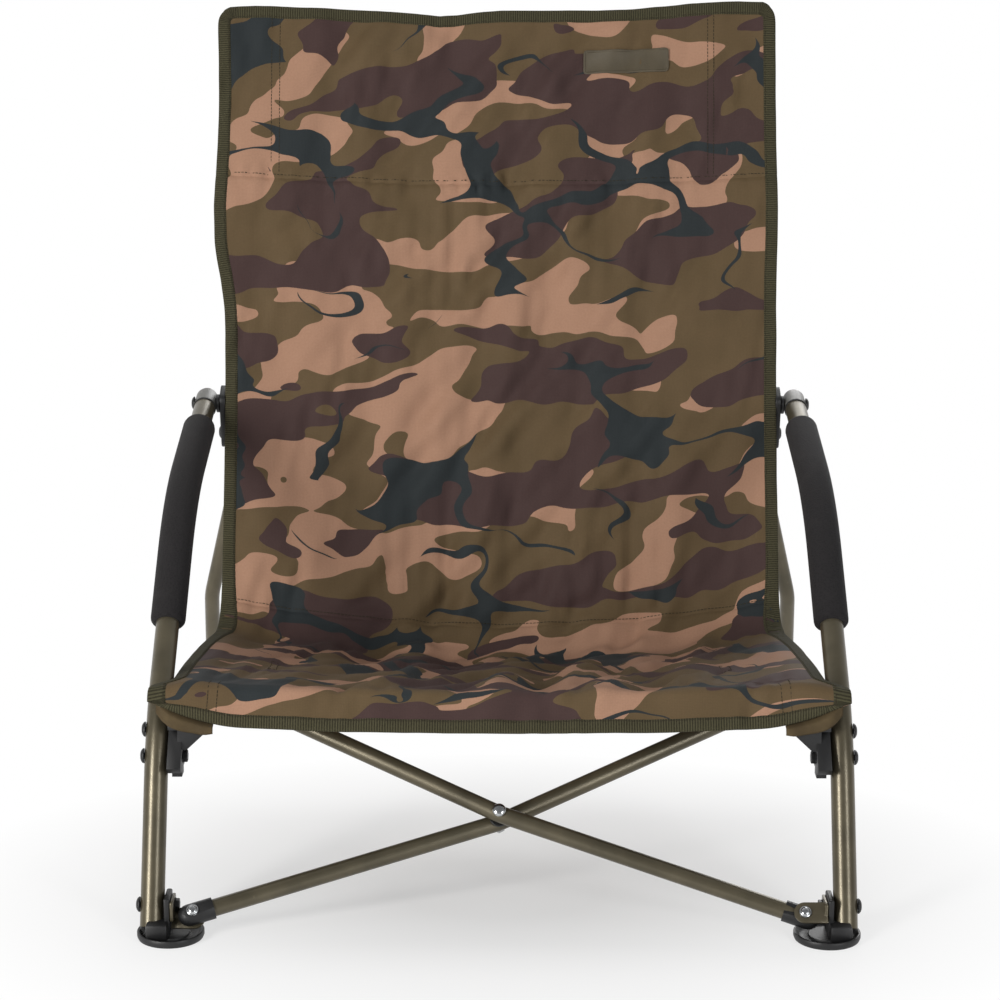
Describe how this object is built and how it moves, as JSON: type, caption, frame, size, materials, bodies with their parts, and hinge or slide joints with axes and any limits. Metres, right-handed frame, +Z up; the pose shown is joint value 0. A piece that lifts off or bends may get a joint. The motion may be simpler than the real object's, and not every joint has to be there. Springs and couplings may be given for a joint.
{
  "type": "carp fishing chair",
  "caption": "Low folding sling chair: bent side frames with foam armrests, a reclined cloth sling, crossed front bars and four dished mud feet.",
  "frame": {"origin": "on the ground, in the middle of the chair's outline", "axes": "+Z up, +X to the viewer's right, the chair faces -Y"},
  "size_m": [0.6974, 0.6956, 0.7948],
  "materials": {
    "tube": "satin olive bronze coat",
    "plastic": "moulded black nylon",
    "foam": "closed-cell foam",
    "cap": "grey moulded cap",
    "steel": "plated steel",
    "cloth": "woven camouflage polyester",
    "rubber": "moulded soft patch"
  },
  "bodies": {
    "left_frame": {"left_arm_tube": "tube", "left_foam_grip": "foam", "left_arm_end_cap": "cap", "left_pivot_spacer": "plastic", "left_back_bracket": "plastic", "left_pivot_bolt": "plastic", "left_rear_leg_bolt": "plastic", "left_back_pole": "tube", "left_pole_cap": "plastic", "left_rear_leg": "tube", "left_rear_foot": "plastic", "left_front_foot": "plastic", "left_foot_bolt": "plastic", "left_foot_clevis": "tube", "left_clevis_rivet": "steel", "left_leg_bracket": "plastic", "left_lower_bracket_bolt": "plastic", "left_upper_bracket_bolt": "plastic", "left_seat_rail": "tube", "left_seat_elbow": "plastic", "left_rail_saddle": "plastic", "left_pole_pocket": "cloth", "seat_sling": "cloth", "badge_patch": "rubber"},
    "rear_bar": {"rear_cross_bar": "tube", "rear_lower_ferrule": "plastic", "rear_upper_pin_cap": "plastic", "centre_bolt": "steel", "bar_washer": "plastic"},
    "front_bar": {"front_cross_bar": "tube", "front_lower_ferrule": "plastic", "front_upper_pin_cap": "plastic"},
    "right_frame": {"right_arm_tube": "tube", "right_foam_grip": "foam", "right_arm_end_cap": "cap", "right_pivot_spacer": "plastic", "right_back_bracket": "plastic", "right_pivot_bolt": "plastic", "right_rear_leg_bolt": "plastic", "right_back_pole": "tube", "right_pole_cap": "plastic", "right_rear_leg": "tube", "right_rear_foot": "plastic", "right_front_foot": "plastic", "right_foot_bolt": "plastic", "right_foot_clevis": "tube", "right_clevis_rivet": "steel", "right_leg_bracket": "plastic", "right_lower_bracket_bolt": "plastic", "right_upper_bracket_bolt": "plastic", "right_seat_rail": "tube", "right_seat_elbow": "plastic", "right_rail_saddle": "plastic", "right_pole_pocket": "cloth"}
  },
  "joints": [
    {"name": "side_fold", "type": "hinge", "parent": "left_frame", "child": "rear_bar", "pos_m": [-0.277, -0.31725, 0.021], "axis": [0, -0.7071, 0.7071], "range_deg": [0, 64], "deforming": ["seat_sling", "badge_patch"]},
    {"name": "cross_pivot", "type": "hinge", "parent": "rear_bar", "child": "front_bar", "pos_m": [0, -0.24901, 0.08924], "axis": [0, -0.7071, 0.7071], "range_deg": [-128, 0]},
    {"name": "right_foot_pivot", "type": "hinge", "parent": "front_bar", "child": "right_frame", "pos_m": [0.277, -0.31725, 0.021], "axis": [0, -0.7071, 0.7071], "range_deg": [0, 64]}
  ],
  "couplings": [
    {"joint": "cross_pivot", "follows": "side_fold", "ratio": -2},
    {"joint": "right_foot_pivot", "follows": "side_fold", "ratio": 1}
  ]
}
